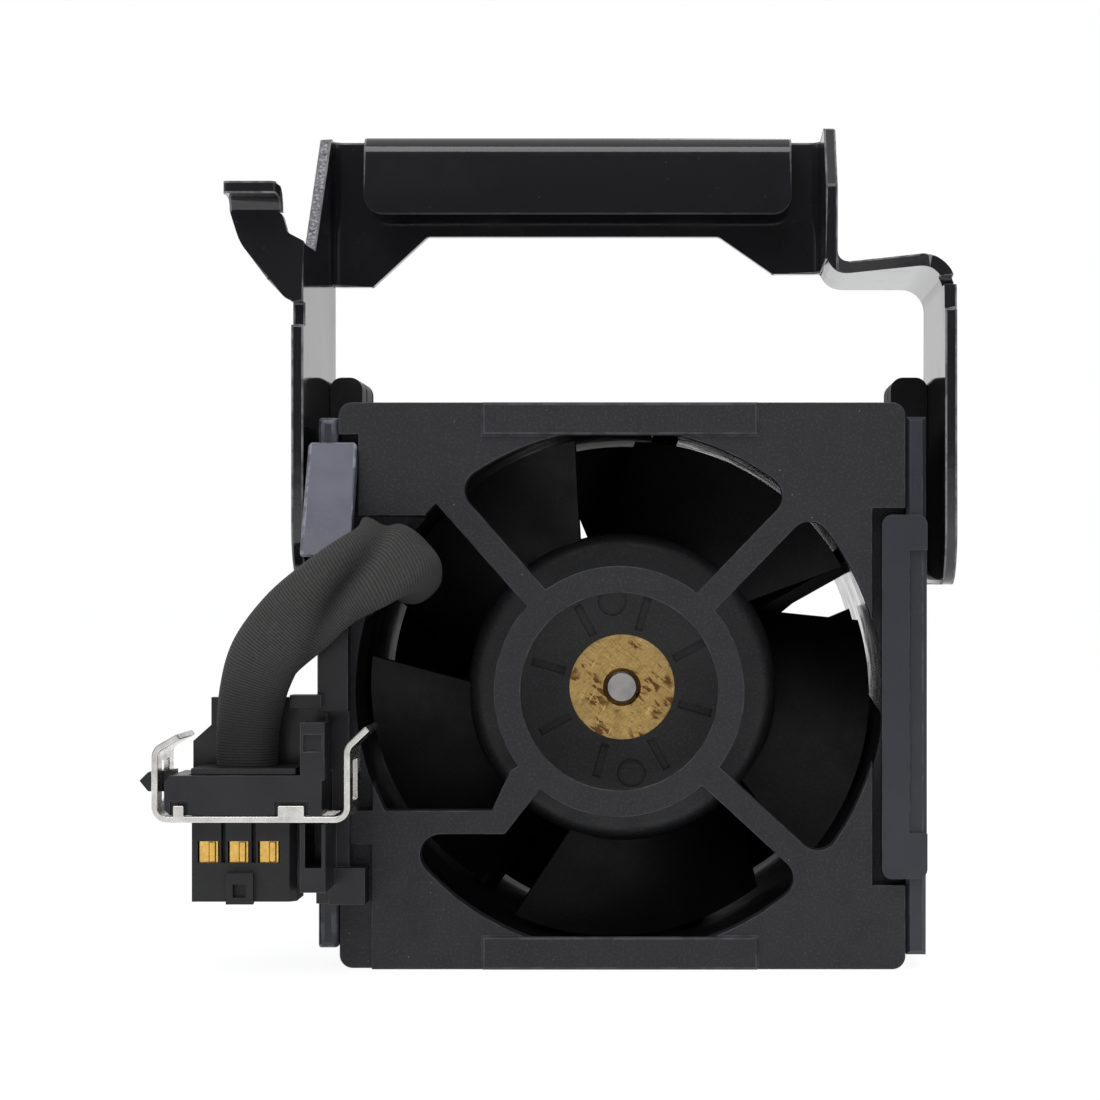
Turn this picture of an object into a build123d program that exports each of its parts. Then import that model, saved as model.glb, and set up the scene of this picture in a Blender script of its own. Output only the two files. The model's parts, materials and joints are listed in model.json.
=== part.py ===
import math
import os

from build123d import *

os.makedirs("parts", exist_ok=True)

# Server fan module. Two axial fans stand back to back in a folded steel handle.
# X runs to the right as seen from the inlet, Y runs into the fans, Z is up.
# The origin is in the middle of the inlet face's lower edge, on the base. Millimetres.

# Fan frames
fan_size = 60.0            # outer square of both fans
fan_length = 28.0          # one fan of the pair, guard included
corner_radius = 1.4
left_edge = -fan_size / 2
right_edge = fan_size / 2
axis_x = -0.3              # fan axis, a little off the middle of the square
axis_drop = 0.6
axis_z = fan_size / 2 - axis_drop
rim_wall = 1.8             # between the bore and the edge of the square
bore_radius = fan_size / 2 - rim_wall
barrel_wall = 1.1
flange_thick = 4.0
hole_inset = 5.0           # from both edges, the standard pattern of a 60 mm fan
hole_pitch = fan_size - 2 * hole_inset
hole_radius = 2.15
stay_count = 7             # stator vanes that carry each motor
stay_width = 1.6
stay_depth = 3.0
stay_tilt = 32.0
stay_middle = 1.9
stay_root = 1.0            # how far a vane starts inside the plate's edge
motor_plate_radius = 16.2
motor_plate_bottom = 0.6   # heights in each fan start at the joint between the two fans
motor_plate_thick = 1.8

# Inlet guard
guard_thick = 2.6
guard_lap = 0.4            # the guard covers the rim of the bore by this much
guard_opening_radius = bore_radius - guard_lap
guard_ring_outer = 13.3
guard_ring_inner = 10.45
guard_arm_width = 2.7
guard_arm_angles = (46.0, 131.5, -42.7)
guard_elbow_angle = 222.0
guard_elbow_x = left_edge + 17.0
guard_bar_z = (14.3, 16.8)
guard_corner_fillet = 2.2
pad_x = (-14.8, 14.4)
pad_height = 3.5
pad_rise = 0.5
hook_pocket_x = right_edge - 3.5
hook_pocket_z = (8.9, fan_size - 11.2)
lead_pocket_x = left_edge + 3.6
lead_pocket_z = (16.8, fan_size - 3.4)
hood_pocket_gap = 0.1      # beside the hood, above the notch for the sleeve
lead_notch_x = left_edge + 10.5
lead_notch_z = (37.4, 48.0)
foot_panel = (left_edge + 3.5, 13.2)  # right edge and top of the sunk panel at the lower left
foot_panel_depth = 1.0
peg_hole_radius = 1.9      # in the front fan's inlet corners, smaller than the screw holes
peg_clearance = 0.1
pad_chamfer = 0.2
peg_length = 3.0
hook_gap_side = 1.0
hook_gap_end = 0.7

# Motor, in both fans
shaft_radius = 1.75
shaft_end = 15.9
shaft_start = 0.9
shaft_chamfer = 0.2
hub_radius = 17.0
hub_face = 15.5
hub_open = 4.0
hub_face_thick = 1.7
hub_edge_fillet = 1.8
yoke_radius = 14.7
yoke_wall = 1.0
yoke_open = 4.3
magnet_thick = 1.3
magnet_z = (4.9, 12.4)
bush_radius = 5.8
bush_sink = 0.25
bush_length = 2.9
bush_chamfer = 0.35
tube_radius = 5.2
tube_bore = 4.0
tube_length = 11.4
bearing_width = 3.0
bearing_split = 2.62       # between the inner ring and the outer ring
bearing_play = 0.06
bearing_starts = (2.4, 8.6)
core_z = (5.2, 10.8)
core_back = 7.2
core_tooth_width = 2.2
core_tooth_end = 10.6
air_gap = 0.5
tooth_count = 6
shoe_angle = 46.0
coil_thick = 1.3
coil_gap = 0.3             # to the core's back and to the tooth's shoe
coil_crown = 0.8           # of a coil over the ends of its tooth
board_z = 2.6
board_thick = 1.0
board_radius = 14.0
board_clearance = 0.1
retainer_radius = 3.1
retainer_z = 1.4
retainer_thick = 0.6
retainer_groove = 0.35     # depth of the groove in the shaft
retainer_gap = 1.8
slot_count = 8
slot_start = 28.8          # angle of the first rib slot in the hub face
slot_radii = (6.5, 10.3)
slot_width = 0.9
slot_depth = 0.5
gate_radius = 1.6
gate_place = 9.5
gate_angles = (96.3, -83.7)

# Blades. Each edge is straight: its angles about the axis at the hub and at the bore, from the
# blade's own middle, and its heights there. The two fans turn opposite ways, so the front blades
# rise clockwise and the rear ones anticlockwise, each in its own fan's frame.
tip_clearance = 0.65
blade_root = 0.5
blade_thick = 1.3
blade_edge = 0.45
blade_lows = (5.0, 5.6)
blade_highs = (14.4, 16.4)
blade_planes = (0.62 * hub_radius, (hub_radius + bore_radius) / 2 - 2.6, bore_radius + 0.8)
front_blades = 5
front_low_edge = (39.4, 24.6)
front_high_edge = (-28.2, -33.5)
front_camber = 1.5
front_rest_angle = -10.0
rear_blades = 4
rear_low_edge = (-39.8, -42.9)
rear_high_edge = (44.7, 37.3)
rear_camber = -1.5
rear_rest_angle = 25.0

# Folded steel handle
sheet = 1.3
bend_inner = 1.2
shoulder_bend = 2.6        # inside, where the shelf turns down into the right arm
hem_bend = 1.0
arm_gap_left = 5.0         # from the fans to the outer face of each arm
arm_gap_right = 5.5
arm_left_x = left_edge - arm_gap_left
arm_right_x = right_edge + arm_gap_right
arm_depth = 27.6
arm_bottom = fan_size - 19.3
arm_corner = 6.0
arm_back_corner = 3.0
step_width = 12.1          # of the shelf, between the neck and the lower arm
neck_right_x = arm_right_x - step_width
handle_top = 91.5
shelf_top = handle_top - 15.5
web_bottom = handle_top - 10.8
web_foot_left = (handle_top - 16.6, arm_left_x + 5.7, arm_left_x + 12.0)
web_foot_right = (handle_top - 15.1, neck_right_x - 6.7, neck_right_x - 12.9)
left_shoulder_z = handle_top - 14.4
left_shoulder_y = arm_depth - 17.6
left_tip_y = arm_depth - 3.9
right_shoulder_z = handle_top - 7.0
right_neck_y = arm_depth - 17.1
right_tip_y = arm_depth - 11.1
shelf_front_y = 1.0
lip_front = arm_depth - 6.9
lip_x = (arm_left_x + 5.3, neck_right_x - 4.7)
lip_bottom = handle_top - 8.8
lip_corner = 2.0
notch_z = (handle_top - 23.3, handle_top - 20.8)
notch_depth = 1.6
right_notch_z = (shelf_top - 3.4, shelf_top - 2.5)
right_notch_depth = 3.2
horn_outline = (           # from the top of the left arm's outer face
    (1.3, -20.7), (-0.4, -20.7), (-2.5, -18.5), (-5.5, -14.5), (-6.5, -11.3),
    (-1.0, -11.3), (-0.4, -13.5), (1.3, -14.4))
horn_radii = (0, 1.5, 2.5, 5.0, 0, 0.8, 0.8, 0)
horn_curl = 4.6
horn_rise = 2.6

# Rubber mounts between the fans and the handle, with the screws that hold them
mount_y = (fan_length - 6.0, fan_length + 5.5)
mount_z = (fan_size - 18.8, fan_size + 4.2)
mount_corner = 1.4
mount_slot_places = (mount_y[0] + 4.2, mount_y[1] - 1.4)
mount_slot = (0.8, 2.5)    # width, and depth from the top
screw_y = mount_y[0] + 2.4
screw_z = (fan_size - 13.0, fan_size - 2.4)
screw_radius = 1.45
screw_head_radius = 2.7
screw_end_gap = 0.4
screw_clearance = 0.15
screw_cross = (3.0, 0.6, 0.5)  # length, width and depth of each arm

# Screws that join the two fans
joining_radius = 1.45
joining_clearance = 0.2
joining_head_radius = 2.6
joining_head = 1.9
joining_sink = 2.1         # depth of the counterbore for the head
joining_reach = 3.7        # into the front fan
joining_cross = (3.6, 0.6, 0.6)

# Side rails
rail_thick = 2.1
rail_y = (0.3, 21.5)
rail_gap = 0.1
rail_chamfer = 0.4
right_rail_z = (1.5, fan_size - 1.5)
left_rail_z = (2.2, fan_size - 1.6)
hook_front = -0.5
hook_back = 1.7
hook_reach = right_edge + 2.3
hook_corner = 1.1
hook_slot_x = (right_edge + 0.4, hook_reach)
hook_slot_z = (14.4, hook_pocket_z[1] - 4.4)
hook_slot_depth = 0.9

# Cable hood on the left
hood_x = (left_edge - 3.2, left_edge + 2.0)
hood_z = (fan_size - 16.4, fan_size - 4.0)
hood_lip_y = -7.0
hood_thick = 1.5
hood_lead_gap = 0.35

# Connector carrier
carrier_gap = 0.02         # between the plate and the inlet face
carrier_back_y = -1.2      # front of the plate
carrier_plate_x = (left_edge - 2.2, left_edge + 1.3)
carrier_plate_z = (9.2, 29.2)
carrier_rib_x = (left_edge - 1.8, left_edge + 1.3)
carrier_rib_z = (27.4, 36.7)
carrier_wall_x = (left_edge - 0.6, carrier_plate_x[1])
carrier_wall_z = (carrier_plate_z[1] - 0.2, 44.9)
carrier_rib_y = -2.5
carrier_ledge_x = left_edge - 4.6
carrier_ledge_z = (27.8, 29.2)
carrier_ledge_y = -4.0
cradle_x = (left_edge - 16.6, left_edge - 0.5)
cradle_z = (17.1, 21.2)
cradle_y = (-10.0, -1.1)
nub_x = cradle_x[0] - 3.0
nub_z = 20.5
nub_y = (-7.6, -4.6)
post_x = (left_edge - 2.7, left_edge - 0.2)
post_back_y = -6.0
post_top = 26.6
guide_x = (cradle_x[0] + 1.6, cradle_x[1] - 0.5)
guide_y = (-2.1, -1.1)
guide_top = 28.9
guide_step = (guide_x[0] + 1.9, 24.3, 26.0)
side_block_x = (left_edge - 2.7, left_edge - 0.1)
side_block_top = 16.2
side_window_z = (11.7, side_block_top)
side_window_x = (side_block_x[0] + 0.5, side_block_x[1] - 0.4)
face_arm_x = left_edge + 3.1
face_arm_z = (7.1, 11.0)
face_arm_y = -2.5

# Blind-mate connector
plug_x = (cradle_x[0] + 2.7, cradle_x[1] - 2.7)
plug_y = (-9.2, -2.8)
plug_bottom = 8.2
plug_side_play = 0.4
flange_lap = 0.5
flange_height = 0.6
flange_play = 0.1
contact_count = 3
contact_pitch = 3.1
contact_first_x = plug_x[0] + 1.7
contact_width = 1.9
contact_wall = 0.35
contact_window = 2.2
contact_window_z = (12.2, 14.4)
contact_window_depth = 1.8
contact_leaf = (0.35, 0.45)  # offset and radius of the sprung leaf in each window
groove_width = 0.45        # between the contacts' columns
groove_depth = 1.0
groove_top = 16.9
contact_row_y = (-7.9, -4.2)
contact_play = 0.1
key_x = (plug_x[0] + 3.6, plug_x[0] + 6.4)
key_z = (8.0, 11.2)
key_rise = 0.8
key_hole = 1.35

# Spring clip
clip_thick = 0.65
clip_bend = 1.6            # outside
clip_y = (-10.6, -1.4)
clip_rail = 1.1
clip_left_x = cradle_x[0] - 1.2
clip_right_x = left_edge + 2.5
clip_bottom = 16.4
clip_left_top = 24.0
clip_right_top = 23.9
clip_flare = 2.0
clip_window_z = (18.4, 22.6)
clip_window_margin = 2.6
clip_tabs = ((cradle_x[0] + 1.0, cradle_x[0] + 2.1), (cradle_x[0] + 11.7, cradle_x[0] + 14.4))
clip_tab_rise = 1.1        # above the strip, in notches of the cradle
clip_tab_gap = 0.4

# Leads
sleeve_radius = 3.5
sleeve_route = (
    (-38.7, -6.0, 22.1), (-38.4, -6.2, 28.4), (-35.9, -7.3, 34.4), (-31.3, -8.3, 39.0),
    (-25.9, -6.9, 41.6), (-22.6, -1.9, 41.5), (-22.6, 4.4, 41.2),
)
wire_radius = 0.45
wire_spread = 1.6
wire_bend = 1.2
wire_start_gap = 0.25
wire_margin = 0.35         # round a lead, in the slots that it passes through
wire_pocket_x = left_edge + 11.4
wire_pocket_z = (lead_notch_z[0] - 0.1, lead_notch_z[1])
wire_pocket_depth = 6.2


def block(x, y, z):
    """A box between two corners, each side given as a low and a high value."""
    size = (x[1] - x[0], y[1] - y[0], z[1] - z[0])
    centre = ((x[0] + x[1]) / 2, (y[0] + y[1]) / 2, (z[0] + z[1]) / 2)
    return Pos(*centre) * Box(*size)


def disc(radius, z0, z1, place=(0, 0)):
    """A round solid along local Z between two heights."""
    return Pos(place[0], place[1], (z0 + z1) / 2) * Cylinder(radius, z1 - z0)


def ring(outer, inner, z0, z1):
    return disc(outer, z0, z1) - disc(inner, z0, z1)


def extrude_y(points, y, radii=None):
    """A plate with an outline in X and Z, from one depth to another."""
    path = [(px, pz) for px, pz in points]
    if radii is None:
        face = make_face(Polyline(*path, close=True))
    else:
        face = make_face(FilletPolyline(*path, radius=radii, close=True))
    plate = extrude(Plane.XZ * face, amount=y[1] - y[0])
    return Pos(0, y[1], 0) * plate


def extrude_x(points, x, radii=None):
    """A plate with an outline in Y and Z, from one X to another."""
    path = [(py, pz) for py, pz in points]
    if radii is None:
        face = make_face(Polyline(*path, close=True))
    else:
        face = make_face(FilletPolyline(*path, radius=radii, close=True))
    return Pos(x[0], 0, 0) * extrude(Plane.YZ * face, amount=x[1] - x[0])


def strip_face(path, thick, bends):
    """The section of a bent sheet. path is one skin, and the sheet lies to its right,
    or to its left where thick is negative. bends has the inner radius of each bend."""
    points = [Vector(p[0], p[1]) for p in path]
    steps = [(b - a).normalized() for a, b in zip(points, points[1:])]
    normals = [Vector(s.Y, -s.X) for s in steps]
    other = [points[0] + normals[0] * thick]
    skin_radii, other_radii = [], []
    for corner, before, after, n0, n1, bend in zip(points[1:], steps, steps[1:], normals,
                                                   normals[1:], bends):
        mitre = (n0 + n1) * (thick / (1 + n0.dot(n1)))
        other.append(corner + mitre)
        turns_left = before.X * after.Y - before.Y * after.X > 0
        skin_inside = turns_left == (thick > 0)
        skin_radii.append(bend + (0 if skin_inside else abs(thick)))
        other_radii.append(bend + (abs(thick) if skin_inside else 0))
    other.append(points[-1] + normals[-1] * thick)
    skin = FilletPolyline(*points, radius=skin_radii)
    back = FilletPolyline(*other, radius=other_radii)
    ends = Line(points[0], other[0]) + Line(points[-1], other[-1])
    return make_face(skin.edges() + back.edges() + ends.edges())


def to_front(shape):
    """Turns a fan's own frame, with its motor plate down, to the inlet side."""
    return Pos(axis_x, fan_length, axis_z) * Rot(90, 0, 0) * shape


def to_rear(shape):
    """Turns a fan's own frame, with its motor plate down, to the outlet side."""
    return Pos(axis_x, fan_length, axis_z) * Rot(-90, 0, 0) * shape


def corner_places():
    half = hole_pitch / 2
    return [(sx * half, sy * half) for sx in (-1, 1) for sy in (-1, 1)]


def square_plate(z0, z1, upright):
    """The fan's square outline about its axis. upright is 1 at the front and -1 at the rear."""
    middle = (-axis_x, upright * (fan_size / 2 - axis_z))
    outline = RectangleRounded(fan_size, fan_size, corner_radius)
    return Pos(middle[0], middle[1], z0) * extrude(outline, amount=z1 - z0)


def fan_housing(length, upright, screw_hole, outer_hole):
    """A barrel between two square flanges, with holes in the corners of both."""
    body = square_plate(0, flange_thick, upright)
    body += square_plate(length - flange_thick, length, upright)
    body += disc(bore_radius + barrel_wall, 0, length)
    body -= disc(bore_radius, 0, length)
    for place in corner_places():
        body -= disc(screw_hole, 0, flange_thick, place)
        body -= disc(outer_hole, length - flange_thick, length, place)
    return body


def motor_base(upright):
    """The round plate that carries the motor, on vanes that reach the barrel."""
    plate_top = motor_plate_bottom + motor_plate_thick
    base = disc(motor_plate_radius, motor_plate_bottom, plate_top)
    start = motor_plate_radius - stay_root
    reach = bore_radius + barrel_wall - start
    vane = Rot(stay_tilt * upright, 0, 0) * Box(reach, stay_width, stay_depth)
    vane = Pos(start + reach / 2, 0, stay_middle) * vane & disc(bore_radius, 0, flange_thick)
    first = upright * (lead_angle() + 180 / stay_count)
    base += [Rot(0, 0, first + k * 360 / stay_count) * vane for k in range(stay_count)]
    return base - disc(tube_radius, 0, plate_top)


def edge_at(angles, heights, x):
    """Where a blade's straight edge meets the plane at x: its place across the blade and height."""
    ends = [(r * math.cos(math.radians(a)), r * math.sin(math.radians(a)))
            for r, a in zip((hub_radius, bore_radius), angles)]
    share = (x - ends[0][0]) / (ends[1][0] - ends[0][0])
    return Vector(*[p + share * (q - p) for p, q in ((ends[0][1], ends[1][1]), heights)])


def blade_section(x, low_edge, high_edge, camber):
    """One section of a blade in the plane at x: a cambered strip with thin ends."""
    turned = Plane(origin=(x, 0, 0), x_dir=(0, 1, 0), z_dir=(1, 0, 0))
    start = edge_at(low_edge, blade_lows, x)
    end = edge_at(high_edge, blade_highs, x)
    along = (end - start).normalized()
    across = Vector(-along.Y, along.X) * math.copysign(1, along.X)
    middle = (start + end) / 2 + across * camber
    upper = ThreePointArc(start + across * blade_edge / 2, middle + across * blade_thick / 2,
                          end + across * blade_edge / 2)
    lower = ThreePointArc(start - across * blade_edge / 2, middle - across * blade_thick / 2,
                          end - across * blade_edge / 2)
    ends = Line(upper @ 0, lower @ 0) + Line(upper @ 1, lower @ 1)
    return turned * make_face(upper.edges() + lower.edges() + ends.edges())


def impeller(blades, rest_angle, low_edge, high_edge, camber):
    """Hub cup with rib slots in its face, and wide, twisted blades."""
    hub = disc(hub_radius, hub_open, hub_face)
    rim = hub.edges().filter_by(GeomType.CIRCLE).sort_by(Axis.Z)[-1]
    hub = fillet(rim, hub_edge_fillet)
    hub -= disc(yoke_radius, hub_open, hub_face - hub_face_thick)
    hub -= disc(bush_radius, hub_open, hub_face)
    slot_middle = (slot_radii[0] + slot_radii[1]) / 2
    slot = Box(slot_radii[1] - slot_radii[0], slot_width, slot_depth * 2)
    for k in range(slot_count):
        hub -= Rot(0, 0, slot_start + k * 360 / slot_count) * Pos(slot_middle, 0, hub_face) * slot
    for angle in gate_angles:
        hub -= Rot(0, 0, angle) * disc(gate_radius, hub_face - slot_depth, hub_face,
                                       (gate_place, 0))
    tip = bore_radius - tip_clearance
    span = ring(tip, hub_radius - blade_root, hub_open, fan_length)
    blade = loft([blade_section(x, low_edge, high_edge, camber) for x in blade_planes]) & span
    pitch = 360 / blades
    return hub + [Rot(0, 0, rest_angle + k * pitch) * blade for k in range(blades)]


def hub_bush():
    """Brass bush pressed in the hub, countersunk round the shaft."""
    top = hub_face - bush_sink
    bush = ring(bush_radius, shaft_radius, top - bush_length, top)
    mouth = bush.edges().filter_by(GeomType.CIRCLE).group_by(Axis.Z)[-1].sort_by(SortBy.RADIUS)[0]
    return chamfer(mouth, bush_chamfer)


def shaft():
    pin = disc(shaft_radius, shaft_start, shaft_end)
    groove = ring(shaft_radius, shaft_radius - retainer_groove, retainer_z,
                  retainer_z + retainer_thick)
    end = (pin - groove).edges().filter_by(GeomType.CIRCLE).sort_by(Axis.Z)[-1]
    return chamfer(end, shaft_chamfer)


def rotor_yoke():
    top = hub_face - hub_face_thick
    cup = disc(yoke_radius, yoke_open, top)
    cup -= disc(yoke_radius - yoke_wall, yoke_open, top - yoke_wall)
    return cup - disc(bush_radius, yoke_open, top)


def magnet_ring():
    outer = yoke_radius - yoke_wall
    return ring(outer, outer - magnet_thick, *magnet_z)


def bearing_tube():
    return ring(tube_radius, tube_bore, motor_plate_bottom, motor_plate_bottom + tube_length)


def bearing_rings(outer, inner):
    return [ring(outer, inner, z, z + bearing_width) for z in bearing_starts]


def stator_core():
    """Laminated core: a back ring on the bearing tube and T-shaped teeth."""
    shoe_outer = yoke_radius - yoke_wall - magnet_thick - air_gap
    core = ring(core_back, tube_radius, *core_z)
    tooth_middle = (core_back + core_tooth_end) / 2
    tooth_length = core_tooth_end - core_back + 0.8
    tall = core_z[1] - core_z[0]
    tooth = Pos(tooth_middle, 0, sum(core_z) / 2) * Box(tooth_length, core_tooth_width, tall)
    half = math.radians(shoe_angle / 2)
    wide = shoe_outer * 2
    wedge = Polyline((0, 0), (wide * math.cos(half), -wide * math.sin(half)),
                     (wide * math.cos(half), wide * math.sin(half)), close=True)
    sector = Pos(0, 0, core_z[0]) * extrude(make_face(wedge), amount=tall)
    shoe = ring(shoe_outer, core_tooth_end, *core_z) & sector
    tee = tooth + shoe
    return core + [Rot(0, 0, k * 360 / tooth_count) * tee for k in range(tooth_count)]


def stator_coils():
    """One wound coil round each tooth."""
    start = core_back + coil_gap
    end = core_tooth_end - coil_gap
    wide = core_tooth_width + 2 * coil_thick
    low, high = core_z[0] - coil_crown, core_z[1] + coil_crown
    hole = Pos((start + end) / 2, 0, sum(core_z) / 2) * Box(
        end - start, core_tooth_width, core_z[1] - core_z[0])
    coil = Pos((start + end) / 2, 0, (low + high) / 2) * Box(end - start, wide, high - low)
    coil = fillet(coil.edges().filter_by(Axis.X), coil_thick * 0.45) - hole
    return [Rot(0, 0, k * 360 / tooth_count) * coil for k in range(tooth_count)]


def circuit_board():
    return ring(board_radius, tube_radius + board_clearance, board_z, board_z + board_thick)


def shaft_retainer():
    top = retainer_z + retainer_thick
    washer = ring(retainer_radius, shaft_radius - retainer_groove, retainer_z, top)
    return washer - block((0, retainer_radius), (-retainer_gap / 2, retainer_gap / 2),
                          (retainer_z, top))


def opening_corners(face):
    """The corners of the guard's openings that lie near the outer circle."""
    middle = (guard_ring_outer + guard_opening_radius) / 2
    return [v for v in face.vertices() if math.hypot(v.X - axis_x, v.Y - axis_z) > middle]


def front_guard():
    """Face plate with four openings, a hub ring and its arms, locating pads and pegs."""
    centre = Pos(axis_x, axis_z)
    plate = Pos(0, fan_size / 2) * RectangleRounded(fan_size, fan_size, corner_radius)
    opening = centre * Circle(guard_opening_radius)
    opening -= centre * Circle(guard_ring_outer)
    far = guard_opening_radius + 2
    for angle in guard_arm_angles:
        opening -= centre * Rot(0, 0, angle) * Pos(far / 2, 0) * Rectangle(far, guard_arm_width)
    elbow = math.radians(guard_elbow_angle)
    root = (axis_x + guard_ring_outer * math.cos(elbow), axis_z + guard_ring_outer * math.sin(elbow))
    low, high = guard_bar_z
    elbow_arm = Polyline((root[0] - 1.6, root[1] + 0.6), (guard_elbow_x - 0.8, high),
                         (guard_elbow_x - 0.8, low), (guard_elbow_x + 0.6, low),
                         (root[0] + 1.4, root[1] - 1.6), axis_point(0.6, root), close=True)
    opening -= make_face(elbow_arm)
    bar_length = guard_elbow_x + fan_size / 2
    opening -= Pos(guard_elbow_x - bar_length / 2, (low + high) / 2) * Rectangle(
        bar_length, high - low)
    openings = Sketch() + [fillet(opening_corners(f), guard_corner_fillet)
                           for f in opening.faces()]
    plate -= openings
    plate -= centre * Circle(guard_ring_inner)
    pocket_z0, pocket_z1 = lead_pocket_z
    notch_top = lead_notch_z[1]
    for edge_x, low, high in ((lead_pocket_x, pocket_z0, notch_top),
                              (hood_x[1] + hood_pocket_gap, notch_top, pocket_z1)):
        deep = edge_x - left_edge
        plate -= Pos(edge_x - deep / 2, (low + high) / 2) * Rectangle(deep, high - low)
    notch_width = lead_notch_x - lead_pocket_x
    plate -= Pos(lead_notch_x - notch_width / 2, sum(lead_notch_z) / 2) * Rectangle(
        notch_width, lead_notch_z[1] - lead_notch_z[0])
    guard = Pos(0, guard_thick, 0) * extrude(Plane.XZ * plate, amount=guard_thick)
    half = fan_size / 2
    guard -= block((hook_pocket_x, half), (0, guard_thick), hook_pocket_z)
    guard -= block((-half, foot_panel[0]), (0, foot_panel_depth), (0, foot_panel[1]))
    for z in ((fan_size - pad_height, fan_size), (0, pad_height)):
        pad = block(pad_x, (-pad_rise, 0), z)
        guard += chamfer(pad.faces().sort_by(Axis.Y)[0].edges(), pad_chamfer)
    for place in corner_places():
        peg = disc(peg_hole_radius - peg_clearance, -peg_length, 0)
        spot = Pos(axis_x + place[0], guard_thick, axis_z + place[1])
        guard += spot * Rot(90, 0, 0) * peg
    return guard


def axis_point(share, point):
    """A point on the line from the fan axis to another point in the face."""
    return (axis_x + (point[0] - axis_x) * share, axis_z + (point[1] - axis_z) * share)


def wire_out_x():
    """Where the leads run back between the barrel and the flange edges."""
    return -fan_size / 2 + wire_radius + wire_margin


def lead_angle():
    """Direction, seen from the fan axis, from which the leads reach the circuit boards."""
    return math.degrees(math.atan2(sleeve_route[-1][2] - axis_z, wire_out_x() - axis_x))


def front_housing():
    """Inlet fan frame, shorter by the guard, with a pocket where the leads come out."""
    body = to_front(fan_housing(fan_length - guard_thick, 1, joining_radius, peg_hole_radius))
    pocket_back = guard_thick + wire_pocket_depth
    body -= block((-fan_size / 2, wire_pocket_x), (guard_thick, pocket_back), wire_pocket_z)
    return body - wire_passage(1)


def rear_housing():
    """Outlet fan frame, with counterbores for the screws that join the fans."""
    body = fan_housing(fan_length, -1, joining_radius + joining_clearance, hole_radius)
    for place in corner_places():
        body -= disc(joining_head_radius + joining_clearance, flange_thick - joining_sink,
                     flange_thick, place)
    return to_rear(body) - wire_passage(-1)


def wire_passage(upright):
    """Room for the leads through the flanges, and for one of them through the barrel."""
    z = sleeve_route[-1][2]
    margin = wire_radius + wire_margin
    depths = sorted((fan_length, fan_length - upright * (flange_thick + 0.1)))
    channel = block((-fan_size / 2, wire_out_x() + margin), depths,
                    (z - margin, z + wire_spread + margin))
    depth = wire_depth(upright)
    inner = point_on_lead_line(motor_plate_radius + 2, depth)
    outer = point_on_lead_line(bore_radius + 3, depth)
    hole = tube_run(inner, outer, margin)
    return channel + hole


def wire_depth(upright):
    """Depth of a lead where it meets the edge of its circuit board."""
    return fan_length - upright * (board_z + board_thick / 2)


def point_on_lead_line(radius, depth):
    angle = math.radians(lead_angle())
    return (axis_x + radius * math.cos(angle), depth, axis_z + radius * math.sin(angle))


def tube_run(start, end, radius):
    """A straight round bar between two points."""
    line = Vector(*end) - Vector(*start)
    return extrude(Plane(origin=start, z_dir=line) * Circle(radius), amount=line.length)


def joining_screws():
    """Four screws through the flanges where the two fans meet."""
    screws = []
    for x, z in corner_places():
        seat = flange_thick - joining_sink
        top = seat + joining_head
        body = disc(joining_radius, -joining_reach, seat)
        head = disc(joining_head_radius, seat, top)
        long, wide, deep = joining_cross
        for spread in ((long, wide), (wide, long)):
            head -= Pos(0, 0, top) * Box(*spread, deep * 2)
        place = Pos(axis_x + x, fan_length, axis_z + z) * Rot(-90, 0, 0)
        screws.append(place * (body + head))
    return screws


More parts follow.
